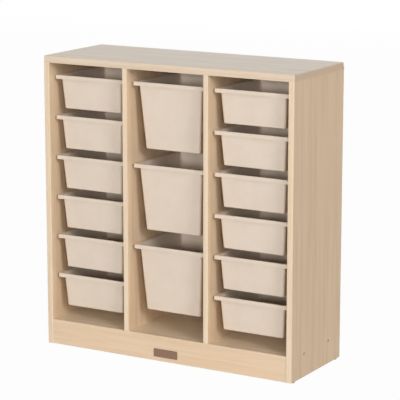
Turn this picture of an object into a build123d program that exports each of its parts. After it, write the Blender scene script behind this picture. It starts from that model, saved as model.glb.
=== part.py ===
from build123d import *
import os

# Storage cabinet with pull-out trays. Millimetres: X to the right, Y to the back, Z up from the floor.

# Outside of the cabinet
cabinet_width = 1000.0
cabinet_depth = 372.0
cabinet_height = 1060.0

# Boards of the carcass
side_thickness = 22.0
top_thickness = 25.0
divider_thickness = 19.0
shelf_thickness = 19.0
plinth_thickness = 22.0
plinth_height = 92.0
plinth_setback = 1.5
back_thickness = 6.0
back_rebate = 10.0
shelf_housing = 6.0
board_edge_radius = 3.0
top_edge_radius = 5.0

# Levels of the trays, from the top panel down to the bottom shelf
tray_rows = 6
head_gap = 46.0
floor_gap = 47.0
stack_gap = 24.0
deep_stack_gap = 52.0

# Moulded trays
tray_recess = 28.0
tray_back_gap = 26.0
tray_side_gap = 7.5
tray_wall = 2.5
tray_draft = 4.2
tub_corner_radius = 10.0
tub_base_bevel = 5.0
rim_overhang = 18.5
front_overhang = 8.0
rim_thickness = 3.0
rim_corner_radius = 6.0
lip_thickness = 2.5
side_lip_height = 7.0
front_lip_height = 14.0
front_lip_return = 10.0

# Runner strips that carry the rims
runner_width = 13.0
runner_height = 25.0
runner_seat_gap = 0.3
runner_setback = 88.0
runner_back_gap = 4.0
runner_lead_in = 4.0

# Loose tenons of the board joints, half of each tenon in either board
tenon_thickness = 8.0
tenon_width = 40.0
tenon_length = 24.0
tenon_tip_gap = 1.0
tenon_inset = 75.0

# Floor glides
glide_height = 4.0
glide_margin = 1.0
glide_inset = 25.0

# Bare plate on the plinth
plate_width = 97.0
plate_height = 30.0
plate_thickness = 1.2
plate_corner_radius = 3.0
plate_centre_height = 30.0

# Faces that the boards share
front_y = -cabinet_depth / 2
rear_y = cabinet_depth / 2
back_face_y = rear_y - back_thickness
outer_x = cabinet_width / 2
inner_x = outer_x - side_thickness
foot_z = glide_height
shelf_top_z = foot_z + plinth_height
shelf_foot_z = shelf_top_z - shelf_thickness
top_foot_z = cabinet_height - top_thickness
plinth_front_y = front_y + plinth_setback
plinth_rear_y = plinth_front_y + plinth_thickness
rear_plinth_y = rear_y - plinth_thickness

# Columns between the upright boards
column_width = (2 * inner_x - 2 * divider_thickness) / 3
column_pitch = column_width + divider_thickness
column_centres = {"left": -column_pitch, "centre": 0.0, "right": column_pitch}
divider_x = column_pitch / 2
side_centre_x = outer_x - side_thickness / 2

# Tray sizes that follow from the columns and levels
level_pitch = (top_foot_z - head_gap - shelf_top_z - floor_gap + stack_gap) / tray_rows
rim_levels = [top_foot_z - head_gap - row * level_pitch for row in range(tray_rows)]
deep_rows = tray_rows // 2
shallow_height = level_pitch - stack_gap
deep_height = 2 * level_pitch - deep_stack_gap
rim_front_y = front_y + tray_recess
rim_rear_y = back_face_y - tray_back_gap
rim_width = column_width - 2 * tray_side_gap
rim_depth = rim_rear_y - rim_front_y
rim_centre_y = (rim_front_y + rim_rear_y) / 2
tub_width = rim_width - 2 * rim_overhang
tub_depth = rim_depth - front_overhang - rim_overhang
tub_shift_y = (front_overhang - rim_overhang) / 2

# Middles of the board joints, where the tenons sit
tenon_rows_y = (front_y + tenon_inset, rear_y - tenon_inset)
uprights_x = (-side_centre_x, -divider_x, divider_x, side_centre_x)
top_joints = [(x, y, top_foot_z) for x in uprights_x for y in tenon_rows_y]
shelf_joints = [(x, y, shelf_top_z) for x in (-divider_x, divider_x) for y in tenon_rows_y]
front_plinth_middle = ((plinth_front_y + plinth_rear_y) / 2, (foot_z + shelf_top_z) / 2)
rear_plinth_middle = ((rear_plinth_y + rear_y) / 2, (foot_z + shelf_foot_z) / 2)
plinth_middles = (front_plinth_middle, rear_plinth_middle)
plinth_joints = [(x, *middle) for x in (-inner_x, inner_x) for middle in plinth_middles]
mortise_length = tenon_length + 2 * tenon_tip_gap

glide_radius = side_thickness / 2 - glide_margin
glide_rows_y = (front_y + glide_inset, rear_y - glide_inset)
glide_places = [(x, y) for x in (-side_centre_x, side_centre_x) for y in glide_rows_y]


def save(piece, label):
    """Name a finished piece and write it as its own STEP file."""
    piece.part.label = label
    export_step(piece.part, f"parts/{label}.step")


def board(x_range, y_range, z_range, mode=Mode.ADD):
    """A rectangular board, or a rectangular cut, between two faces on each axis."""
    middle = [(low + high) / 2 for low, high in (x_range, y_range, z_range)]
    size = [high - low for low, high in (x_range, y_range, z_range)]
    with Locations(tuple(middle)):
        Box(*size, mode=mode)


def standing_tenons(points, length, mode=Mode.ADD):
    """Tenons, or their mortises, across level joints."""
    with Locations(*points):
        Box(tenon_thickness, tenon_width, length, mode=mode)


def lying_tenons(points, length, mode=Mode.ADD):
    """Tenons, or their mortises, across the upright joints at the ends of the plinths."""
    with Locations(*points):
        Box(length, tenon_thickness, tenon_width, mode=mode)


def make_side_panels():
    """Both sides: upright boards with a rebate for the back and a housing for the bottom shelf."""
    with BuildPart() as left_side:
        board((-outer_x, -inner_x), (front_y, rear_y), (foot_z, top_foot_z))
        fillet(left_side.edges().filter_by(Axis.Z).group_by(Axis.Y)[0], board_edge_radius)
        rebate_x = (-inner_x - back_rebate, -inner_x)
        board(rebate_x, (back_face_y, rear_y), (shelf_foot_z, top_foot_z), mode=Mode.SUBTRACT)
        housing_x = (-inner_x - shelf_housing, -inner_x)
        board(housing_x, (plinth_rear_y, back_face_y), (shelf_foot_z, shelf_top_z), mode=Mode.SUBTRACT)
        standing_tenons(top_joints, mortise_length, mode=Mode.SUBTRACT)
        lying_tenons(plinth_joints, mortise_length, mode=Mode.SUBTRACT)
    with BuildPart() as right_side:
        mirror(left_side.part, about=Plane.YZ)
    save(left_side, "left_side_panel")
    save(right_side, "right_side_panel")


def make_top_panel():
    """The top: lies over the sides, rounded along its upper edges, with a rebate under its rear edge."""
    with BuildPart() as top_panel:
        board((-outer_x, outer_x), (front_y, rear_y), (top_foot_z, cabinet_height))
        fillet(top_panel.faces().sort_by(Axis.Z)[-1].edges(), top_edge_radius)
        rebate_x = (-inner_x - back_rebate, inner_x + back_rebate)
        rebate_z = (top_foot_z, top_foot_z + back_rebate)
        board(rebate_x, (back_face_y, rear_y), rebate_z, mode=Mode.SUBTRACT)
        standing_tenons(top_joints, mortise_length, mode=Mode.SUBTRACT)
    save(top_panel, "top_panel")


def make_divider(centre_x, label):
    """An upright between two columns, from the bottom shelf to the top."""
    half_thickness = divider_thickness / 2
    with BuildPart() as divider:
        divider_range = (centre_x - half_thickness, centre_x + half_thickness)
        board(divider_range, (front_y, back_face_y), (shelf_top_z, top_foot_z))
        fillet(divider.edges().filter_by(Axis.Z).group_by(Axis.Y)[0], board_edge_radius)
        standing_tenons(top_joints, mortise_length, mode=Mode.SUBTRACT)
        standing_tenons(shelf_joints, mortise_length, mode=Mode.SUBTRACT)
    save(divider, label)


def make_bottom_shelf():
    """The floor of the columns: let into both sides, behind the front plinth."""
    with BuildPart() as bottom_shelf:
        end_x = inner_x + shelf_housing
        board((-end_x, end_x), (plinth_rear_y, back_face_y), (shelf_foot_z, shelf_top_z))
        standing_tenons(shelf_joints, mortise_length, mode=Mode.SUBTRACT)
    save(bottom_shelf, "bottom_shelf")


def make_plinths():
    """The two rails under the columns: the front one up to the shelf's top, the rear one below the shelf."""
    with BuildPart() as front_plinth:
        board((-inner_x, inner_x), (plinth_front_y, plinth_rear_y), (foot_z, shelf_top_z))
        fillet(front_plinth.edges().filter_by(Axis.X).group_by(Axis.Y)[0], board_edge_radius)
        lying_tenons(plinth_joints, mortise_length, mode=Mode.SUBTRACT)
    with BuildPart() as rear_plinth:
        board((-inner_x, inner_x), (rear_plinth_y, rear_y), (foot_z, shelf_foot_z))
        lying_tenons(plinth_joints, mortise_length, mode=Mode.SUBTRACT)
    save(front_plinth, "front_plinth")
    save(rear_plinth, "rear_plinth")


def make_back_panel():
    """The thin back: sits in the rebates of the sides and the top, and on the rear plinth."""
    with BuildPart() as back_panel:
        edge_x = inner_x + back_rebate
        board((-edge_x, edge_x), (back_face_y, rear_y), (shelf_foot_z, top_foot_z + back_rebate))
    save(back_panel, "back_panel")


def make_tenons():
    """All loose tenons of the carcass, each across its joint."""
    with BuildPart() as tenons:
        standing_tenons(top_joints + shelf_joints, tenon_length)
        lying_tenons(plinth_joints, tenon_length)
    save(tenons, "carcass_tenons")


def make_plate():
    """The bare plate, flat on the front plinth."""
    centre = (0, plinth_front_y, foot_z + plate_centre_height)
    plate_place = Plane(origin=centre, x_dir=(1, 0, 0), z_dir=(0, -1, 0))
    with BuildPart() as plate:
        with BuildSketch(plate_place):
            RectangleRounded(plate_width, plate_height, plate_corner_radius)
        extrude(amount=plate_thickness)
    save(plate, "plinth_plate")


def make_glides():
    """Four round glides under the ends of the side panels."""
    with BuildPart() as glides:
        with Locations(*glide_places):
            Cylinder(glide_radius, glide_height, align=(Align.CENTER, Align.CENTER, Align.MIN))
    save(glides, "floor_glides")


def make_runners(face_x, towards, label):
    """Six strips on one upright face, standing out in the direction towards (-1 or 1)."""
    front = rim_front_y + runner_setback
    rear = back_face_y - runner_back_gap
    near_x, far_x = sorted((face_x, face_x + towards * runner_width))
    with BuildPart() as runners:
        for rim_z in rim_levels:
            top = rim_z - side_lip_height - runner_seat_gap
            board((near_x, far_x), (front, rear), (top - runner_height, top))
        front_edges = runners.edges().filter_by(Axis.X).group_by(Axis.Y)[0]
        chamfer(front_edges, runner_lead_in)
    save(runners, label)


def make_all_runners():
    """A set of runners on each face that looks into a column."""
    half_divider = divider_thickness / 2
    make_runners(-inner_x, 1, "left_side_runners")
    make_runners(-divider_x - half_divider, -1, "left_divider_left_runners")
    make_runners(-divider_x + half_divider, 1, "left_divider_right_runners")
    make_runners(divider_x - half_divider, -1, "right_divider_left_runners")
    make_runners(divider_x + half_divider, 1, "right_divider_right_runners")
    make_runners(inner_x, -1, "right_side_runners")


def drafted_block(width, depth, height, corner_radius):
    """A block below Z = 0 that narrows downwards, with round corners and a bevel around its base."""
    below = (Align.CENTER, Align.CENTER, Align.MAX)
    with BuildPart() as sharp:
        Box(width, depth, height, align=below)
        draft(sharp.faces().filter_by(Axis.Z, reverse=True), Plane.XY, -tray_draft)
    with BuildPart() as bevelled:
        add(sharp.part)
        chamfer(bevelled.faces().sort_by(Axis.Z)[0].edges(), tub_base_bevel)
    with BuildPart() as rounded:
        add(sharp.part)
        fillet(rounded.edges().filter_by(Plane.XY, reverse=True), corner_radius)
        add(bevelled.part, mode=Mode.INTERSECT)
    return rounded.part


def shape_tray(height):
    """A moulded tray below Z = 0: a drafted tub and a flat rim whose lip turns down, deepest at the front."""
    tub = drafted_block(tub_width, tub_depth, height, tub_corner_radius)
    hollow_width = tub_width - 2 * tray_wall
    hollow_depth = tub_depth - 2 * tray_wall
    hollow = drafted_block(hollow_width, hollow_depth, height - tray_wall, tub_corner_radius - tray_wall)
    with BuildPart() as tray:
        with Locations((0, tub_shift_y, 0)):
            add(tub)
        with BuildSketch():
            RectangleRounded(rim_width, rim_depth, rim_corner_radius)
        extrude(amount=-rim_thickness)
        with BuildSketch() as lip:
            RectangleRounded(rim_width, rim_depth, rim_corner_radius)
            Rectangle(rim_width - 2 * lip_thickness, rim_depth - 2 * lip_thickness, mode=Mode.SUBTRACT)
        extrude(amount=-side_lip_height)
        with BuildSketch():
            add(lip.sketch)
            with Locations((0, -rim_depth / 2)):
                Rectangle(rim_width, 2 * front_lip_return, mode=Mode.INTERSECT)
        extrude(amount=-front_lip_height)
        with Locations((0, tub_shift_y, 0)):
            add(hollow, mode=Mode.SUBTRACT)
    return tray.part


def place_tray(shape, centre_x, rim_z, label):
    """One tray with its rim at this level of a column."""
    with BuildPart() as tray:
        with Locations((centre_x, rim_centre_y, rim_z)):
            add(shape)
    save(tray, label)


def make_all_trays():
    """Shallow trays on every level of the outer columns, deep ones on every second level of the centre."""
    shallow_shape = shape_tray(shallow_height)
    deep_shape = shape_tray(deep_height)
    for column in ("left", "right"):
        for row, rim_z in enumerate(rim_levels, start=1):
            place_tray(shallow_shape, column_centres[column], rim_z, f"{column}_tray_{row}")
    for row in range(deep_rows):
        place_tray(deep_shape, column_centres["centre"], rim_levels[2 * row], f"centre_tray_{row + 1}")


os.makedirs("parts", exist_ok=True)
make_side_panels()
make_top_panel()
make_divider(-divider_x, "left_divider")
make_divider(divider_x, "right_divider")
make_bottom_shelf()
make_plinths()
make_back_panel()
make_tenons()
make_plate()
make_glides()
make_all_runners()
make_all_trays()
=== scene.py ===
# %% [markdown]
# # A wooden cabinet with pull-out trays
#
# The cabinet is a carcass of pale boards with three columns. Moulded trays hang in the columns by their rims. The
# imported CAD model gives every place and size, so this lesson only makes finer shapes, finishes, light and a camera.
# It keeps the CAD box from the start, because the dressed cabinet has to stay inside it.

from math import acos, atan2, cos, degrees, pi, radians, sin, tan

import bmesh
import bpy
from mathutils import Matrix, Vector


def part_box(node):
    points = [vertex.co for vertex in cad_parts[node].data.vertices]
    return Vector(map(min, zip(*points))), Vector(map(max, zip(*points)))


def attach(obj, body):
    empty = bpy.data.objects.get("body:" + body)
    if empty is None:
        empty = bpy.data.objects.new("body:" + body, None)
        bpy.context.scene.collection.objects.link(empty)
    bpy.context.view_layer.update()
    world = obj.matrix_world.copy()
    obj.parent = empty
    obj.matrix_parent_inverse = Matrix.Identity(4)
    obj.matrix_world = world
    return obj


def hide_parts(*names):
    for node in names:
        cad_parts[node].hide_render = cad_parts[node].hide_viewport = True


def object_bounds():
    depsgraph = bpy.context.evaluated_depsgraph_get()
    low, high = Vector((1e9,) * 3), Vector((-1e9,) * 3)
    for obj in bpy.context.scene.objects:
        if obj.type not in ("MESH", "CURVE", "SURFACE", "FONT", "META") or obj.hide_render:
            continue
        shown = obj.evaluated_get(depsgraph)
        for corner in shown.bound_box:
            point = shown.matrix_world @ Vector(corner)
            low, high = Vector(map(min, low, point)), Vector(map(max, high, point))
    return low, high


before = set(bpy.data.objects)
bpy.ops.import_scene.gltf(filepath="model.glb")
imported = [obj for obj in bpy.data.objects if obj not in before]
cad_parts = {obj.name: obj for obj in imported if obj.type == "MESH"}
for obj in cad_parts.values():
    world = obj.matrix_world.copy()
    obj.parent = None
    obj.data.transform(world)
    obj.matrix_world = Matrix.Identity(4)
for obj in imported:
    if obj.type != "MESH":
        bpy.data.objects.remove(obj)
cad_low, cad_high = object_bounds()
millimetre = 0.001
print("CAD nodes:", len(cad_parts), "box:", tuple(cad_low), tuple(cad_high))

# %% [markdown]
# ## Shader maths as Python
#
# A finish is a net of nodes. Wiring it by hand takes a line for each link, so one small class wraps a socket
# instead, and arithmetic on it adds Math nodes. A second class holds a material or the world. Its one method
# adds any other node: the settings come first, then a value or a link for each socket.

# %% A wire between nodes
class Wire:
    """An output socket. Arithmetic on it adds Math nodes."""

    def __init__(self, finish, socket):
        self.finish = finish
        self.socket = socket

    def output(self, name):
        return Wire(self.finish, self.socket.node.outputs[name])

    def __add__(self, other):
        return self.finish.math("ADD", self, other)

    def __sub__(self, other):
        return self.finish.math("SUBTRACT", self, other)

    def __rsub__(self, other):
        return self.finish.math("SUBTRACT", other, self)

    def __mul__(self, other):
        return self.finish.math("MULTIPLY", self, other)

    def __truediv__(self, other):
        return self.finish.math("DIVIDE", self, other)

    def __rtruediv__(self, other):
        return self.finish.math("DIVIDE", other, self)

    def __abs__(self):
        return self.finish.math("ABSOLUTE", self)

    __radd__ = __add__
    __rmul__ = __mul__


print("Wire adds Math nodes for + - * / and abs")

# %% A finish with any node
class Finish:
    """The nodes of a material or of the world."""

    def __init__(self, holder):
        self.holder = holder
        holder.use_nodes = True
        self.tree = holder.node_tree
        self.shader = self.tree.nodes.get("Principled BSDF")

    def node(self, kind, settings=None, sockets=None, output=0):
        made = self.tree.nodes.new(kind)
        for name, value in (settings or {}).items():
            setattr(made, name, value)
        self.feed(made, sockets or {})
        return Wire(self, made.outputs[output])

    def feed(self, node, sockets):
        for name, value in sockets.items():
            if isinstance(value, Wire):
                self.tree.links.new(value.socket, node.inputs[name])
            else:
                node.inputs[name].default_value = value

    def math(self, operation, *values):
        return self.node("ShaderNodeMath", {"operation": operation}, dict(enumerate(values)))

    def mix(self, factor, first, second, blend="MIX"):
        # a Mix node has sockets for every kind of data; 6 and 7 take its colours and 2 gives the mixed one
        settings = {"data_type": "RGBA", "blend_type": blend}
        return self.node("ShaderNodeMix", settings, {0: factor, 6: first, 7: second}, output=2)

    def stretch(self, vector, factors):
        return self.node("ShaderNodeVectorMath", {"operation": "MULTIPLY"}, {0: vector, 1: factors})

    def noise(self, vector, scale, detail=2.0, roughness=0.5):
        sockets = {"Vector": vector, "Scale": scale, "Detail": detail, "Roughness": roughness}
        return self.node("ShaderNodeTexNoise", None, sockets)

    def soft_step(self, value, start, end):
        sockets = {"Value": value, "From Min": start, "From Max": end}
        return self.node("ShaderNodeMapRange", {"interpolation_type": "SMOOTHSTEP"}, sockets)

    def bump(self, height, strength, distance):
        sockets = {"Height": height, "Strength": strength, "Distance": distance}
        return self.node("ShaderNodeBump", None, sockets)

    def end_with(self, shader):
        kinds = ("OUTPUT_MATERIAL", "OUTPUT_WORLD")
        output = next(node for node in self.tree.nodes if node.type in kinds)
        self.feed(output, {"Surface": shader})


print("Finish adds any node through one method")

# %% Colours as a screen shows them
def screen_colour(red, green, blue):
    """A colour in 0 to 255, as picked on a screen, turned into the linear values that shaders take."""
    linear = [((value / 255 + 0.055) / 1.055) ** 2.4 for value in (red, green, blue)]
    return (*linear, 1.0)


print("a pale wood in linear values:", screen_colour(240, 219, 192))

# %% [markdown]
# ## Pale wood
#
# The boards are pale, close-grained wood under a clear satin lacquer, glued up from staves. An image of wood would
# repeat and stretch, so the grain is grown from noise instead: the coordinates are squeezed along the grain, which
# draws every blot of noise out into a streak. Each stave gets a tone of its own. The broad faces and the edges of a
# board take tones of their own, and several of these carry painted light: the broad faces of the uprights are a
# little warmer and lighter than their edges as painted fill light, the right side is darker as painted shade, the top
# has painted shade on its edges, and the shelf is paler as painted light on the floors of the columns. Faces that
# look along the grain turn into darker end grain.
# The lacquer is a clear coat, which greys the top where it is seen at a flat angle.

# %% Staves of a board
X, Y, Z = 0, 1, 2
stave_width = 0.078
stave_start = 40.37


def stave_tone(wood, spot, across):
    """A random tone for each stave, with the staves side by side along an axis."""
    place = wood.node("ShaderNodeSeparateXYZ", None, {0: spot}, output=across)
    stave = wood.math("FLOOR", place / stave_width + stave_start)
    return wood.node("ShaderNodeTexWhiteNoise", {"noise_dimensions": "1D"}, {"W": stave})


print("staves are", stave_width, "m wide")

# %% Streaks and pores
grain_stretch = 0.035


def wood_grain(wood, spot, tone, along):
    """Wide and narrow streaks and fine pores, drawn out along an axis and shifted from stave to stave."""
    drawn_out = [1.0, 1.0, 1.0]
    drawn_out[along] = grain_stretch
    grain = wood.stretch(spot, drawn_out)
    shifted = wood.node("ShaderNodeVectorMath", {"operation": "ADD"}, {0: grain, 1: tone.output("Color")})
    wide = wood.soft_step(wood.noise(shifted, scale=38.0, detail=3.0, roughness=0.6), start=0.34, end=0.72)
    narrow = wood.soft_step(wood.noise(shifted, scale=150.0, detail=2.0, roughness=0.55), start=0.4, end=0.75)
    pores = wood.soft_step(wood.noise(grain, scale=1100.0, detail=1.0), start=0.62, end=0.8)
    return wide, narrow, pores


print("grain is drawn out", round(1 / grain_stretch), "times")

# %% Wood of one board
wide_share, narrow_share, pore_share = 0.55, 0.3, 0.12
darkest_stave, stave_range = 0.955, 0.07
streak_tint = (0.855, 0.785, 0.70, 1.0)
end_tint = (0.76, 0.66, 0.57, 1.0)
ring_share = 0.5
coat_roughness = 0.26
end_coat_loss = 0.6


def wood_finish(name, along, stave_across, broad, face_tone, edge_tone, lacquer):
    """Wood with its grain along one axis, its staves side by side along another and its broad faces on a third."""
    wood = Finish(bpy.data.materials.new(name))
    spot = wood.node("ShaderNodeTexCoord", output="Object")
    facing = wood.node("ShaderNodeSeparateXYZ", None, {0: spot.output("Normal")})
    tone = stave_tone(wood, spot, stave_across)
    wide, narrow, pores = wood_grain(wood, spot, tone, along)
    broad_face = wood.soft_step(abs(facing.output(broad)), start=0.6, end=0.9)
    streaks = wide * wide_share + narrow * narrow_share + pores * pore_share
    # broad faces take face_tone and the other faces edge_tone; for several boards these tones hold painted light and
    # shade
    streaked = wood.mix(streaks, wood.mix(broad_face, edge_tone, face_tone), streak_tint, "MULTIPLY")
    shade = darkest_stave + tone * stave_range
    stave_grey = wood.node("ShaderNodeCombineColor", None, {0: shade, 1: shade, 2: shade})
    toned = wood.mix(1.0, streaked, stave_grey, "MULTIPLY")
    rings = wood.soft_step(wood.noise(spot, scale=420.0, detail=3.0, roughness=0.7), start=0.35, end=0.7)
    end_face = wood.mix(1.0 - rings * ring_share, edge_tone, end_tint, "MULTIPLY")
    end_mask = wood.soft_step(abs(facing.output(along)), start=0.75, end=0.95)
    wood.feed(wood.shader, {
        "Base Color": wood.mix(end_mask, toned, end_face),
        "Roughness": 0.4 + narrow * 0.1 + end_mask * 0.15,
        "Normal": wood.bump(narrow * 0.6 + pores, strength=0.08, distance=0.0004),
    })
    if lacquer:
        coat = lacquer - end_mask * (lacquer * end_coat_loss)
        wood.feed(wood.shader, {"Coat Weight": coat, "Coat Roughness": coat_roughness})
    return wood.holder


print("the darkest stave has", darkest_stave, "of the board's tone")

# %% Woods of the cabinet
unlacquered, satin, glossy = 0.0, 0.25, 0.5
pale_wood = screen_colour(240, 219, 192)
# painted fill light: the broad faces of the uprights are warmer and lighter than their edges, as if warm light filled
# them
painted_fill_face_tone = screen_colour(247, 221, 188)
# painted shade: the right side is darker than the other uprights, as the side turned away from the front light
side_painted_shade_tone = screen_colour(226, 197, 161)
rail_tone = screen_colour(238, 212, 181)
# painted shade: the edges of the top, its front edge above all, are darker than its broad faces
top_edge_painted_shade = screen_colour(230, 210, 186)
# painted light: the shelf is paler than the other boards, to light the floors of the columns under the trays
shelf_painted_light_tone = screen_colour(253, 236, 210)
raw_wood = screen_colour(222, 196, 160)
upright_wood_painted_fill = wood_finish("pale_wood_upright_painted_fill", Z, Y, X, painted_fill_face_tone, pale_wood, satin)
side_wood_painted_shade = wood_finish("pale_wood_side_painted_shade", Z, Y, X, side_painted_shade_tone, pale_wood, satin)
level_wood_painted_edge_shade = wood_finish("pale_wood_level_painted_edge_shade", X, Y, Z, pale_wood, top_edge_painted_shade, glossy)
shelf_wood_painted_light = wood_finish("pale_wood_shelf_painted_light", X, Y, Z, shelf_painted_light_tone, pale_wood, satin)
rail_wood = wood_finish("pale_wood_rail", X, Z, Y, rail_tone, pale_wood, satin)
runner_wood = wood_finish("pale_wood_runner", Y, X, Z, pale_wood, pale_wood, satin)
tenon_wood = wood_finish("raw_tenon_wood", Z, Y, X, raw_wood, raw_wood, unlacquered)
woods = [upright_wood_painted_fill, side_wood_painted_shade, level_wood_painted_edge_shade, shelf_wood_painted_light, rail_wood, runner_wood, tenon_wood]
print("woods:", [wood.name for wood in woods])

# %% [markdown]
# ## Moulded plastic, hardboard and small metal
#
# The trays are injection moulded in a cream plastic with a fine satin texture. Their colour is nearly even, so the
# finish lives from a faint mottle, from a roughness that drifts a little and from a very fine grain in the bump.
# The back is smooth hardboard, the plate a matt brown metal, the glides dark plastic, and the connectors bronzed
# steel.

# %% Plastics of the trays and the glides
def plastic_finish(name, colour, shade, roughness, grain):
    """Moulded plastic: a faint mottle and a fine texture from the mould."""
    plastic = Finish(bpy.data.materials.new(name))
    spot = plastic.node("ShaderNodeTexCoord", output="Object")
    mottle = plastic.soft_step(plastic.noise(spot, scale=14.0, detail=3.0, roughness=0.6), start=0.3, end=0.75)
    texture = plastic.noise(spot, scale=1600.0, detail=1.0)
    drift = plastic.noise(spot, scale=55.0, detail=2.0)
    plastic.feed(plastic.shader, {
        "Base Color": plastic.mix(mottle, colour, shade),
        "Roughness": roughness + drift * 0.12,
        "Normal": plastic.bump(texture, strength=grain, distance=0.0002),
    })
    return plastic.holder


cream, cream_shade = screen_colour(230, 214, 197), screen_colour(226, 209, 191)
umber, umber_shade = screen_colour(92, 80, 70), screen_colour(80, 70, 62)
tray_plastic = plastic_finish("cream_tray_plastic", cream, cream_shade, roughness=0.36, grain=0.12)
glide_plastic = plastic_finish("dark_glide_plastic", umber, umber_shade, roughness=0.5, grain=0.1)
print("plastics:", tray_plastic.name, glide_plastic.name)

# %% Hardboard of the back
def hardboard_finish(name, colour, fleck):
    """Pressed fibres: short flecks in every direction under a smooth face."""
    hardboard = Finish(bpy.data.materials.new(name))
    spot = hardboard.node("ShaderNodeTexCoord", output="Object")
    fibres = hardboard.noise(spot, scale=520.0, detail=3.0, roughness=0.7)
    flecks = hardboard.soft_step(fibres, start=0.45, end=0.7)
    clouds = hardboard.noise(spot, scale=9.0, detail=2.0)
    hardboard.feed(hardboard.shader, {
        "Base Color": hardboard.mix(flecks * 0.5 + clouds * 0.3, colour, fleck),
        "Roughness": 0.5 + flecks * 0.15,
        "Normal": hardboard.bump(flecks, strength=0.05, distance=0.0003),
    })
    return hardboard.holder


back_board = hardboard_finish("hardboard_back", screen_colour(200, 168, 130), screen_colour(176, 142, 104))
print("back:", back_board.name)

# %% Metals of the plate and the connectors
def metal_finish(name, colour, worn, metallic, roughness):
    """Sheet metal with fine scuffs that change its gloss."""
    metal = Finish(bpy.data.materials.new(name))
    spot = metal.node("ShaderNodeTexCoord", output="Object")
    brushed = metal.stretch(spot, (1.0, 1.0, 0.2))
    scuffs = metal.soft_step(metal.noise(brushed, scale=700.0, detail=3.0, roughness=0.65), start=0.5, end=0.75)
    metal.feed(metal.shader, {
        "Base Color": metal.mix(scuffs * 0.6, colour, worn),
        "Metallic": metallic,
        "Roughness": roughness + scuffs * 0.15,
        "Normal": metal.bump(scuffs, strength=0.06, distance=0.0002),
    })
    return metal.holder


brown, worn_brown = screen_colour(143, 112, 94), screen_colour(160, 127, 108)
bronze, worn_bronze = screen_colour(172, 155, 132), screen_colour(186, 168, 142)
plate_brown = metal_finish("matt_brown_plate", brown, worn_brown, metallic=0.25, roughness=0.5)
bronzed_steel = metal_finish("bronzed_connector", bronze, worn_bronze, metallic=0.2, roughness=0.45)
print("metals:", plate_brown.name, bronzed_steel.name)

# %% [markdown]
# ## From a bmesh to a piece
#
# Every new piece ends the same way: its mesh is written at its place, shaded smooth with sharp edges kept, given
# its finish, and parented to an empty that stands for its body. Where it stands for a CAD node, that node is hidden.

# %% Finish off a piece
sharp_angle = radians(35)


def finish_piece(bm, name, material, body, slot, *nodes):
    """Turn a bmesh into a named piece that rides on a body and may replace CAD nodes."""
    mesh = bpy.data.meshes.new(name)
    bm.to_mesh(mesh)
    bm.free()
    mesh.shade_smooth()
    mesh.set_sharp_from_angle(angle=sharp_angle)
    mesh.materials.append(material)
    piece = bpy.data.objects.new(name, mesh)
    bpy.context.scene.collection.objects.link(piece)
    piece.modifiers.new("even_shading", "WEIGHTED_NORMAL").keep_sharp = True
    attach(piece, body)
    if nodes:
        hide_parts(*nodes)
    return piece


print("pieces keep edges sharp above", round(degrees(sharp_angle)), "degrees")

# %% Blocks and swept outlines
def add_block(bm, low, high):
    """A rectangular block between two corners, added to a bmesh."""
    verts = bmesh.ops.create_cube(bm, size=1.0)["verts"]
    bmesh.ops.scale(bm, vec=Vector(high) - Vector(low), verts=verts)
    bmesh.ops.translate(bm, vec=(Vector(low) + Vector(high)) / 2, verts=verts)


def verts_of(geom):
    """The vertices among the items that an operator returns."""
    return [item for item in geom if isinstance(item, bmesh.types.BMVert)]


def sweep_face(bm, face, along):
    """A flat face swept straight along a vector, which makes it a solid."""
    swept = bmesh.ops.extrude_face_region(bm, geom=[face])["geom"]
    bmesh.ops.translate(bm, vec=along, verts=verts_of(swept))
    bmesh.ops.recalc_face_normals(bm, faces=bm.faces)


def sweep_profile(bm, corners, along):
    """An outline drawn from its corners and swept straight along a vector."""
    sweep_face(bm, bm.faces.new([bm.verts.new(corner) for corner in corners]), along)


print("helpers: blocks, swept faces, swept outlines")

# %% Softened edges
parallel = 0.999


def edges_along(bm, axis, wanted):
    """Edges parallel to an axis whose middle passes a test."""
    found = []
    for edge in bm.edges:
        start, end = (vert.co for vert in edge.verts)
        if abs((end - start).normalized()[axis]) > parallel and wanted((start + end) / 2):
            found.append(edge)
    return found


def soften(bm, edges, radius, steps=4):
    """Round off edges, as a router or sandpaper does."""
    bmesh.ops.bevel(
        bm, geom=edges, offset=radius, offset_type="OFFSET", segments=steps, profile=0.5,
        affect="EDGES", material=-1,
    )


print("edges are parallel to an axis within", round(degrees(acos(parallel)), 1), "degrees")

# %% [markdown]
# ## The carcass
#
# The sides stand on the floor and the top lies over them. Both have a rebate at the back, a step that takes the
# thin back panel, so each is drawn as an L-shaped outline and swept along its length. A short block closes the
# rebate where it ends. Only the edges that a hand can reach are rounded, because a rounded edge inside a joint
# would show as a groove. Level with the bottom shelf, each side has two shallow round recesses for the heads of its
# connectors. They are cut without a boolean: planes slice a small square out of the flat face, and the square is
# rounded and pushed in.

# %% Round recesses in a flat face
tolerance = 1e-6
recess_cuts = 6
patch_reach = 1.4
patch_inset = 0.4
wall_lean = 0.02 * millimetre


def flat_face_parts(bm, plane_x):
    """The faces that lie in a plane across X, and the same faces with their edges and vertices."""
    faces = [face for face in bm.faces if all(abs(vert.co.x - plane_x) < tolerance for vert in face.verts)]
    edges = {edge for face in faces for edge in face.edges}
    verts = {vert for face in faces for vert in face.verts}
    return faces, [*verts, *edges, *faces]


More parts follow.
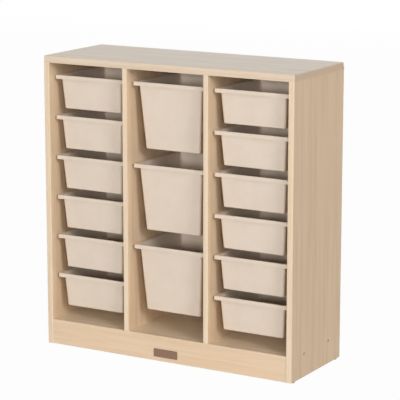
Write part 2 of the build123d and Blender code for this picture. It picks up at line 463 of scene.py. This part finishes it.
def sink_recess(bm, centre, radius, depth):
    """A round recess with nearly straight walls, sunk into a flat face that looks along X."""
    half = radius * patch_reach
    for axis in (Y, Z):
        for offset in (-half, half):
            plane_point, plane_normal = centre.copy(), Vector((0, 0, 0))
            plane_point[axis] += offset
            plane_normal[axis] = 1
            parts = flat_face_parts(bm, centre.x)[1]
            bmesh.ops.bisect_plane(bm, geom=parts, dist=tolerance, plane_co=plane_point, plane_no=plane_normal)
    faces = flat_face_parts(bm, centre.x)[0]
    square = min(faces, key=lambda face: (face.calc_center_median() - centre).length)
    bmesh.ops.inset_region(bm, faces=[square], thickness=half * patch_inset)
    bmesh.ops.subdivide_edges(bm, edges=square.edges[:], cuts=recess_cuts)
    for vert in square.verts:
        vert.co = centre + (vert.co - centre).normalized() * radius
    bmesh.ops.inset_region(bm, faces=[square], thickness=wall_lean, depth=-depth)


print("a recess has", 4 * (recess_cuts + 1), "corners")

# %% Side panels
edge_radius = 3 * millimetre
rear_radius = 1.2 * millimetre
back_low, back_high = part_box("back_panel")
shelf_low, shelf_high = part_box("bottom_shelf")
recess_radius = 6.2 * millimetre
recess_depth = 1.4 * millimetre
connector_y = 93 * millimetre
connector_z = (shelf_low.z + shelf_high.z) / 2


def make_side(node, outer_x, inner_x, material):
    """One side panel with its rebate for the back and its two recesses."""
    low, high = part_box(node)
    step_x = back_low.x if outer_x < 0 else back_high.x
    bm = bmesh.new()
    outline = [(outer_x, low.y), (inner_x, low.y), (inner_x, back_low.y), (step_x, back_low.y)]
    outline += [(step_x, high.y), (outer_x, high.y)]
    sweep_profile(bm, [(x, y, low.z) for x, y in outline], (0, 0, high.z - low.z))
    soften(bm, edges_along(bm, Z, lambda middle: middle.y < low.y + rear_radius), edge_radius)
    rear = edges_along(bm, Z, lambda middle: middle.y > high.y - rear_radius)
    outer_rear = [edge for edge in rear if abs(edge.verts[0].co.x - outer_x) < rear_radius]
    soften(bm, outer_rear, rear_radius, steps=2)
    for y in (-connector_y, connector_y):
        sink_recess(bm, Vector((outer_x, y, connector_z)), recess_radius, recess_depth)
    left, right = sorted((step_x, inner_x))
    add_block(bm, (left, back_low.y, low.z), (right, high.y, back_low.z))
    return finish_piece(bm, node + "_board", material, "cabinet", "pale_wood", node)


left_low, left_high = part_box("left_side_panel")
right_low, right_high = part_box("right_side_panel")
sides = [
    make_side("left_side_panel", left_low.x, left_high.x, upright_wood_painted_fill),
    make_side("right_side_panel", right_high.x, right_low.x, side_wood_painted_shade),
]
print("sides:", [len(side.data.polygons) for side in sides], "faces")

# %% Top panel
top_radius = 5 * millimetre
top_low, top_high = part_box("top_panel")
top = bmesh.new()
outline = [(top_low.y, top_low.z), (top_low.y, top_high.z), (top_high.y, top_high.z)]
outline += [(top_high.y, back_high.z), (back_low.y, back_high.z), (back_low.y, top_low.z)]
sweep_profile(top, [(top_low.x, y, z) for y, z in outline], (top_high.x - top_low.x, 0, 0))
upper = [edge for edge in top.edges if min(vert.co.z for vert in edge.verts) > top_high.z - tolerance]
front_corners = edges_along(top, Z, lambda middle: middle.y < top_low.y + tolerance)
rear_corners = edges_along(top, Z, lambda middle: middle.y > top_high.y - tolerance)
soften(top, upper + front_corners + rear_corners, top_radius, steps=5)
add_block(top, (top_low.x, back_low.y, top_low.z), (back_low.x, top_high.y, back_high.z))
add_block(top, (back_high.x, back_low.y, top_low.z), (top_high.x, top_high.y, back_high.z))
top_board = finish_piece(top, "top_panel_board", level_wood_painted_edge_shade, "cabinet", "pale_wood", "top_panel")
print("top:", len(top_board.data.polygons), "faces")

# %% Dividers, shelf, plinths and back
eased = 0.6 * millimetre


def make_board(node, material, slot, rounded, radius, low=None, high=None):
    """A plain board with the edges that a test picks rounded."""
    node_low, node_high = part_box(node)
    bm = bmesh.new()
    add_block(bm, low or node_low, high or node_high)
    soften(bm, rounded(bm), radius)
    return finish_piece(bm, node + "_board", material, "cabinet", slot, node)


def at_front(middle):
    return middle.y < cad_low.y + edge_radius


def front_uprights(bm):
    return edges_along(bm, Z, at_front)


def front_rails(bm):
    return edges_along(bm, X, at_front)


def all_edges(bm):
    return bm.edges[:]


dividers = ("left_divider", "right_divider")
boards = [make_board(node, upright_wood_painted_fill, "pale_wood", front_uprights, edge_radius) for node in dividers]
shelf_low.x, shelf_high.x = left_high.x, right_low.x
boards.append(make_board("bottom_shelf", shelf_wood_painted_light, "pale_wood", all_edges, eased, shelf_low, shelf_high))
boards.append(make_board("front_plinth", rail_wood, "pale_wood", front_rails, edge_radius))
boards.append(make_board("rear_plinth", rail_wood, "pale_wood", all_edges, eased))
boards.append(make_board("back_panel", back_board, "back_board", all_edges, eased))
print("boards:", [board.name for board in boards])

# %% Loose tenons
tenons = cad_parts["carcass_tenons"]
for tenon_slot in tenons.material_slots:
    tenon_slot.material = tenon_wood
print("tenons keep their CAD shape, in", tenon_wood.name)

# %% [markdown]
# ## Moulded trays
#
# A tray is one thin shell: a tub whose walls lean outwards so that it slips out of its mould, a flat flange round
# its mouth, and a lip that turns down from the flange and is deeper at the front, where a hand pulls. It could be
# two solids, one cut from the other. Here one sheet is drawn instead, as rounded rectangles bridged from the base
# to the lip, and solidify gives all of it the same wall, as the mould does.

# %% A rounded rectangle as a ring of edges
corner_steps = 7


def round_corners(bm, corners, radius, steps):
    """Round off corners of flat faces."""
    return bmesh.ops.bevel(
        bm, geom=corners, offset=radius, offset_type="OFFSET", segments=steps, profile=0.5,
        affect="VERTICES", material=-1,
    )


def add_ring(sheet, low, high, inset, radius, height):
    """A rounded rectangle, set in from a box as seen from above."""
    corners = bmesh.ops.create_grid(sheet, x_segments=1, y_segments=1, size=0.5)["verts"]
    bmesh.ops.scale(sheet, vec=(high.x - low.x - 2 * inset, high.y - low.y - 2 * inset, 1), verts=corners)
    bmesh.ops.translate(sheet, vec=((low.x + high.x) / 2, (low.y + high.y) / 2, height), verts=corners)
    return round_corners(sheet, corners, radius, corner_steps)["verts"][0].link_faces[0]


print("a ring has", 4 * (corner_steps + 1), "corners")

# %% Rings of the tub, from its base up to its mouth
wall = 2.5 * millimetre
draft = radians(4.2)
tub_corner = 10 * millimetre
base_round = 5 * millimetre
mouth_round = 1.5 * millimetre
arc_steps = 5


def tub_rings(base, mouth):
    """Inset, corner radius and height of each ring of the tub, where the mouth has an inset of zero."""
    lean = tan(draft)
    centre = base + base_round
    centre_inset = (mouth - centre) * lean + base_round / cos(draft)
    rings = []
    for step in range(arc_steps + 1):
        turn = (pi / 2 - draft) * step / arc_steps
        inset = centre_inset - base_round * sin(turn)
        height = centre - base_round * cos(turn)
        rings.append((inset, tub_corner - base_round * (1 - sin(turn)), height))
    round_out = mouth_round * (1 - sin(draft)) / cos(draft)
    for step in range(arc_steps + 1):
        turn = draft + (pi / 2 - draft) * step / arc_steps
        inset = mouth_round * cos(turn) - round_out
        rings.append((inset, tub_corner, mouth - mouth_round * (1 - sin(turn))))
    return rings


print("a tub has", 2 * (arc_steps + 1), "rings")

# %% The sheet of a tray
side_overhang = 18.5 * millimetre
front_overhang = 8 * millimetre
rim_corner = 6 * millimetre
rim_round = 0.6 * millimetre
side_lip = 7 * millimetre
front_lip = 14 * millimetre
lip_return = 10 * millimetre
lip_corner = 3 * millimetre
flange_rise = 0.2 * millimetre


def tray_sheet(low, high):
    """The underside of a tray, from the middle of its base to the edge of its lip."""
    sheet = bmesh.new()
    mouth_low = Vector((low.x + side_overhang, low.y + front_overhang, 0))
    mouth_high = Vector((high.x - side_overhang, high.y - side_overhang, 0))
    under = high.z - wall
    rings = [(mouth_low, mouth_high, *ring) for ring in tub_rings(low.z, under - flange_rise)]
    for turn in (0, pi / 6, pi / 3, pi / 2):
        inset = wall + rim_round * (1 - sin(turn))
        rings.append((low, high, inset, rim_corner - inset, under - rim_round * (1 - cos(turn))))
    rings.append((low, high, wall, rim_corner - wall, high.z - side_lip))
    last_edges = add_ring(sheet, *rings[0]).edges[:]
    for ring in rings[1:]:
        face = add_ring(sheet, *ring)
        edges = face.edges[:]
        bmesh.ops.delete(sheet, geom=[face], context="FACES_ONLY")
        bmesh.ops.bridge_loops(sheet, edges=last_edges + edges)
        last_edges = edges
    return sheet


print("lip:", side_lip, "m at the sides and", front_lip, "m at the front")

# %% The deep front lip
lip_corner_steps = 4


def deepen_front_lip(sheet, return_y):
    """Let the lip reach further down in front of a line across the tray, and round the ends of this part."""
    lip_faces = {face for edge in sheet.edges if edge.is_boundary for face in edge.link_faces}
    lip_edges = {edge for face in lip_faces for edge in face.edges}
    lip_verts = {vert for face in lip_faces for vert in face.verts}
    lip = [*lip_verts, *lip_edges, *lip_faces]
    bmesh.ops.bisect_plane(sheet, geom=lip, dist=tolerance, plane_co=(0, return_y, 0), plane_no=(0, 1, 0))
    free_edges = [edge for edge in sheet.edges if edge.is_boundary]
    front_edges = [edge for edge in free_edges if max(vert.co.y for vert in edge.verts) < return_y + tolerance]
    lip_foot = verts_of(bmesh.ops.extrude_edge_only(sheet, edges=front_edges)["geom"])
    bmesh.ops.translate(sheet, vec=(0, 0, side_lip - front_lip), verts=lip_foot)
    lip_ends = [vert for vert in lip_foot if abs(vert.co.y - return_y) < tolerance]
    round_corners(sheet, lip_ends, lip_corner, lip_corner_steps)


print("the front lip returns", lip_return, "m along the sides")

# %% The wall of a tray
square_edge = radians(60)
lip_edge_round = 0.5 * millimetre


def make_tray(node):
    """A tray: its sheet with the deep front lip, given its wall, on its own body."""
    low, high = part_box(node)
    sheet = tray_sheet(low, high)
    deepen_front_lip(sheet, low.y + lip_return)
    bmesh.ops.recalc_face_normals(sheet, faces=sheet.faces)
    base = min(sheet.faces, key=lambda face: face.calc_center_median().z)
    if base.normal.z > 0:
        bmesh.ops.reverse_faces(sheet, faces=sheet.faces)
    bmesh.ops.solidify(sheet, geom=sheet.faces[:], thickness=wall)
    joined_edges = [edge for edge in sheet.edges if len(edge.link_faces) == 2]
    lip_rims = [edge for edge in joined_edges if edge.calc_face_angle() > square_edge]
    soften(sheet, lip_rims, lip_edge_round, steps=2)
    return finish_piece(sheet, node + "_moulding", tray_plastic, node, "tray_plastic", node)


trays = [make_tray(node) for node in sorted(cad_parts) if "_tray_" in node]
print(len(trays), "trays of", len(trays[0].data.polygons), "faces")

# %% [markdown]
# ## Runners
#
# Each tray hangs on two strips of wood screwed to the boards at its sides. The strips of one board face are one
# node. A strip is a block with its front end tapered above and below, so that a tray finds its way on, and with the
# edges that look into the column eased.

# %% Runner strips
runner_height = 25 * millimetre
runner_taper = 4 * millimetre
strip_ease = 1 * millimetre
levels = 6


def make_runners(node, column_side):
    """The six strips on one face of a board; the column lies to the left, -1, or right, 1, of them."""
    low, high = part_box(node)
    pitch = (high.z - low.z - runner_height) / (levels - 1)
    bm = bmesh.new()
    for level in range(levels):
        foot = low.z + level * pitch
        add_block(bm, (low.x, low.y, foot), (high.x, high.y, foot + runner_height))
    soften(bm, edges_along(bm, X, lambda middle: middle.y < low.y + strip_ease), runner_taper, steps=1)
    open_x = high.x if column_side > 0 else low.x
    soften(bm, edges_along(bm, Y, lambda middle: abs(middle.x - open_x) < strip_ease), strip_ease, steps=2)
    return finish_piece(bm, node + "_strips", runner_wood, "cabinet", "runner_wood", node)


runners = [
    make_runners("left_side_runners", 1),
    make_runners("left_divider_left_runners", -1),
    make_runners("left_divider_right_runners", 1),
    make_runners("right_divider_left_runners", -1),
    make_runners("right_divider_right_runners", 1),
    make_runners("right_side_runners", -1),
]
print(len(runners), "sets of", levels, "runners")

# %% [markdown]
# ## Glides, plate and connector heads
#
# Under each end of both sides sits a round glide with a rounded rim and a dished hollow for its nail, turned as a
# profile round its axis. The plate on the plinth is a thin pressed sheet with rounded corners and a raised border,
# and it is left bare. The connectors that hold the shelf show as round socket heads, sunk in the sides.

# %% Turned pieces
turned_steps = 32


def add_turned(bm, profile):
    """A profile of (radius, height) pairs turned round the Z axis."""
    verts = [bm.verts.new((radius, 0, height)) for radius, height in profile]
    edges = [bm.edges.new(pair) for pair in zip(verts, verts[1:])]
    bmesh.ops.spin(
        bm, geom=verts + edges, cent=(0, 0, 0), axis=(0, 0, 1), angle=2 * pi, steps=turned_steps,
        use_merge=True, use_duplicate=False,
    )
    bmesh.ops.remove_doubles(bm, verts=bm.verts, dist=tolerance)
    bmesh.ops.recalc_face_normals(bm, faces=bm.faces)


def copy_to(bm, places):
    """Copies of all that a bmesh holds, moved to places; the first shape is used up."""
    first = bm.verts[:] + bm.edges[:] + bm.faces[:]
    for place in places:
        copied = bmesh.ops.duplicate(bm, geom=first)["geom"]
        bmesh.ops.translate(bm, vec=place, verts=verts_of(copied))
    bmesh.ops.delete(bm, geom=first, context="VERTS")


print("turned pieces have", turned_steps, "sides")

# %% Floor glides
glide_radius = 10 * millimetre
glide_low, glide_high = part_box("floor_glides")
glide_height = glide_high.z - glide_low.z
glide_profile = [
    (0.0, 1.1), (2.4, 1.1), (3.2, 0.0), (8.6, 0.0), (9.4, 0.3), (9.85, 0.9), (10.0, 1.6), (10.0, 4.0), (0.0, 4.0)
]
profile_height = glide_profile[-1][1]
glides = bmesh.new()
rise = glide_height / profile_height
add_turned(glides, [(radius * millimetre, height * rise) for radius, height in glide_profile])
copy_to(glides, [
    (x, y, glide_low.z)
    for x in (glide_low.x + glide_radius, glide_high.x - glide_radius)
    for y in (glide_low.y + glide_radius, glide_high.y - glide_radius)
])
glide_set = finish_piece(glides, "floor_glide_set", glide_plastic, "cabinet", "glide", "floor_glides")
print("glides:", len(glide_set.data.polygons), "faces")

# %% Bare plate on the plinth
plate_low, plate_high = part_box("plinth_plate")
plate_thickness = plate_high.y - plate_low.y
plate_corner = 3 * millimetre
plate_edge_round = 0.35 * millimetre
border_width = 1.6 * millimetre
border_slope = 0.5 * millimetre
border_height = 0.35 * millimetre


def highest_face(bm):
    """The largest of the faces that lie highest."""
    return max(bm.faces, key=lambda face: (round(face.calc_center_median().z, 6), face.calc_area()))


plate = bmesh.new()
flat_low, flat_high = Vector((plate_low.x, plate_low.z, 0)), Vector((plate_high.x, plate_high.z, 0))
sweep_face(plate, add_ring(plate, flat_low, flat_high, 0, plate_corner, 0), (0, 0, plate_thickness))
soften(plate, highest_face(plate).edges[:], plate_edge_round, steps=2)
field = highest_face(plate)
bmesh.ops.inset_region(plate, faces=[field], thickness=border_width)
bmesh.ops.inset_region(plate, faces=[field], thickness=border_slope, depth=-border_height)
bmesh.ops.rotate(plate, cent=(0, 0, 0), matrix=Matrix.Rotation(pi / 2, 3, "X"), verts=plate.verts)
bmesh.ops.translate(plate, vec=(0, plate_high.y, 0), verts=plate.verts)
bare_plate = finish_piece(plate, "bare_plate", plate_brown, "cabinet", "plate", "plinth_plate")
print("plate:", len(bare_plate.data.polygons), "faces")

# %% Connector heads
head_radius = 6 * millimetre
head_steps = 24
head_sunk = 0.3 * millimetre
head_thickness = recess_depth - head_sunk
head_edge_round = 0.4 * millimetre
socket_flat = 2 * millimetre
socket_depth = 0.8 * head_thickness
heads = bmesh.new()
circle = bmesh.ops.create_circle(heads, cap_ends=True, segments=head_steps, radius=head_radius)["verts"]
sweep_face(heads, circle[0].link_faces[0], (0, 0, head_thickness))
soften(heads, highest_face(heads).edges[:], head_edge_round, steps=2)
crown = highest_face(heads)
bmesh.ops.inset_region(heads, faces=[crown], thickness=head_radius - 2 * socket_flat)
for vert in crown.verts:
    turn = atan2(vert.co.y, vert.co.x) % (pi / 3) - pi / 6
    vert.co.xy *= socket_flat / cos(turn) / vert.co.xy.length
bmesh.ops.inset_region(heads, faces=[crown], thickness=wall_lean, depth=-socket_depth)
print("a connector head has", len(heads.faces), "faces")

# %% Heads in their recesses
bmesh.ops.rotate(heads, cent=(0, 0, 0), matrix=Matrix.Rotation(pi / 2, 3, "Y"), verts=heads.verts)
head_x = right_high.x - recess_depth
copy_to(heads, [(head_x, y, connector_z) for y in (-connector_y, connector_y)])
turned_round = bmesh.ops.duplicate(heads, geom=heads.verts[:] + heads.edges[:] + heads.faces[:])["geom"]
bmesh.ops.rotate(heads, cent=(0, 0, 0), matrix=Matrix.Rotation(pi, 3, "Z"), verts=verts_of(turned_round))
connector_heads = finish_piece(heads, "connector_heads", bronzed_steel, "cabinet", "plate")
print("connector heads:", len(connector_heads.data.polygons), "faces")

# %% [markdown]
# ## Floor, background and light
#
# The cabinet stands on plain white, as in a studio. The floor shows white to the camera and to reflections, with a
# share of ordinary matt floor mixed in, so that it keeps a soft shadow. The world does the same: white where it is
# seen, and plainer where it lights the wood. Four soft lamps stand far off and low, so that their light reaches
# into the columns: one before the front, one off the near corner, one on the right that leaves a dark band beside
# each tub, and one behind for the back. Near lamps would be simpler to place, but their light would change from
# tray to tray. The lamps are kept out of the gloss, so that the lacquer mirrors only the white room.

# %% What sees white
def seen_directly(finish):
    """1 for rays from the camera, from a gloss or through glass, and 0 for light on the object."""
    camera_ray = finish.node("ShaderNodeLightPath", output="Is Camera Ray")
    gloss_ray = camera_ray.output("Is Glossy Ray")
    glass_ray = camera_ray.output("Is Transmission Ray")
    return finish.math("MAXIMUM", finish.math("MAXIMUM", camera_ray, gloss_ray), glass_ray)


print("white is shown to camera, gloss and glass rays")

# %% Floor
pure_white = (1.0, 1.0, 1.0, 1.0)
floor_white = (0.86, 0.86, 0.86, 1.0)
floor_share = 0.965
floor_reach = 40.0
floor_finish = Finish(bpy.data.materials.new("studio_floor"))
matt = floor_finish.node("ShaderNodeBsdfDiffuse", None, {"Color": floor_white})
glow = floor_finish.node("ShaderNodeEmission", None, {"Color": pure_white, "Strength": 1.0})
seen = seen_directly(floor_finish) * floor_share
floor_finish.end_with(floor_finish.node("ShaderNodeMixShader", None, {0: seen, 1: matt, 2: glow}))
ground = bmesh.new()
bmesh.ops.create_grid(ground, x_segments=1, y_segments=1, size=floor_reach)
floor_mesh = bpy.data.meshes.new("studio_floor")
ground.to_mesh(floor_mesh)
ground.free()
floor_mesh.materials.append(floor_finish.holder)
floor = bpy.data.objects.new("studio_floor", floor_mesh)
bpy.context.scene.collection.objects.link(floor)
print("floor:", floor.dimensions.x, "m wide")

# %% World
ambient = 0.24
world = bpy.data.worlds.new("studio_white")
bpy.context.scene.world = world
sky = Finish(world)
plain = sky.node("ShaderNodeBackground", None, {"Color": pure_white, "Strength": ambient})
white = sky.node("ShaderNodeBackground", None, {"Color": pure_white, "Strength": 1.0})
sky.end_with(sky.node("ShaderNodeMixShader", None, {0: seen_directly(sky), 1: plain, 2: white}))
print("world lights at", ambient)

# %% Lamps
lamp_target = Vector((0.0, 0.0, 0.55))


def add_softbox(name, size, power, place):
    """A square soft lamp at a place, turned to the middle of the cabinet."""
    light = bpy.data.lights.new(name, "AREA")
    light.shape = "SQUARE"
    light.size = size
    light.energy = power
    lamp = bpy.data.objects.new(name, light)
    lamp.location = place
    lamp.visible_glossy = False
    lamp.rotation_euler = (lamp_target - Vector(place)).to_track_quat("-Z", "Y").to_euler()
    bpy.context.scene.collection.objects.link(lamp)
    return lamp


lamps = [
    add_softbox("front_softbox", size=2.0, power=745.0, place=(-0.3, -14.8, 3.15)),
    add_softbox("corner_softbox", size=1.6, power=290.0, place=(9.1, -11.7, 3.05)),
    add_softbox("right_softbox", size=4.0, power=745.0, place=(12.45, -6.6, 5.7)),
    add_softbox("rear_softbox", size=4.0, power=620.0, place=(-6.3, 13.5, 2.1)),
]
bpy.context.scene.view_settings.view_transform = "Standard"
print("lamps:", [(lamp.name, lamp.data.energy) for lamp in lamps])

# %% [markdown]
# ## Camera
#
# The place of the camera was worked out from the corners of the cabinet in the picture: it stands far off to the
# right front, a little above the top, and looks down by about twelve degrees. A long lens keeps the uprights nearly
# parallel.

# %% Camera
view = bpy.data.cameras.new("camera")
view.sensor_width = 36.0
view.lens = 166.936
view.clip_end = 200.0
look_down, turn_left = 0.20630898, 0.52746725
camera = bpy.data.objects.new("camera", view)
camera.location = (3.26852, -5.55393, 1.90365)
camera.rotation_euler = (pi / 2 - look_down, 0.0, turn_left)
bpy.context.scene.collection.objects.link(camera)
bpy.context.scene.camera = camera
print("camera:", view.lens, "mm lens,", round(camera.location.length, 2), "m away")

# %% Update the view layer
bpy.context.view_layer.update()
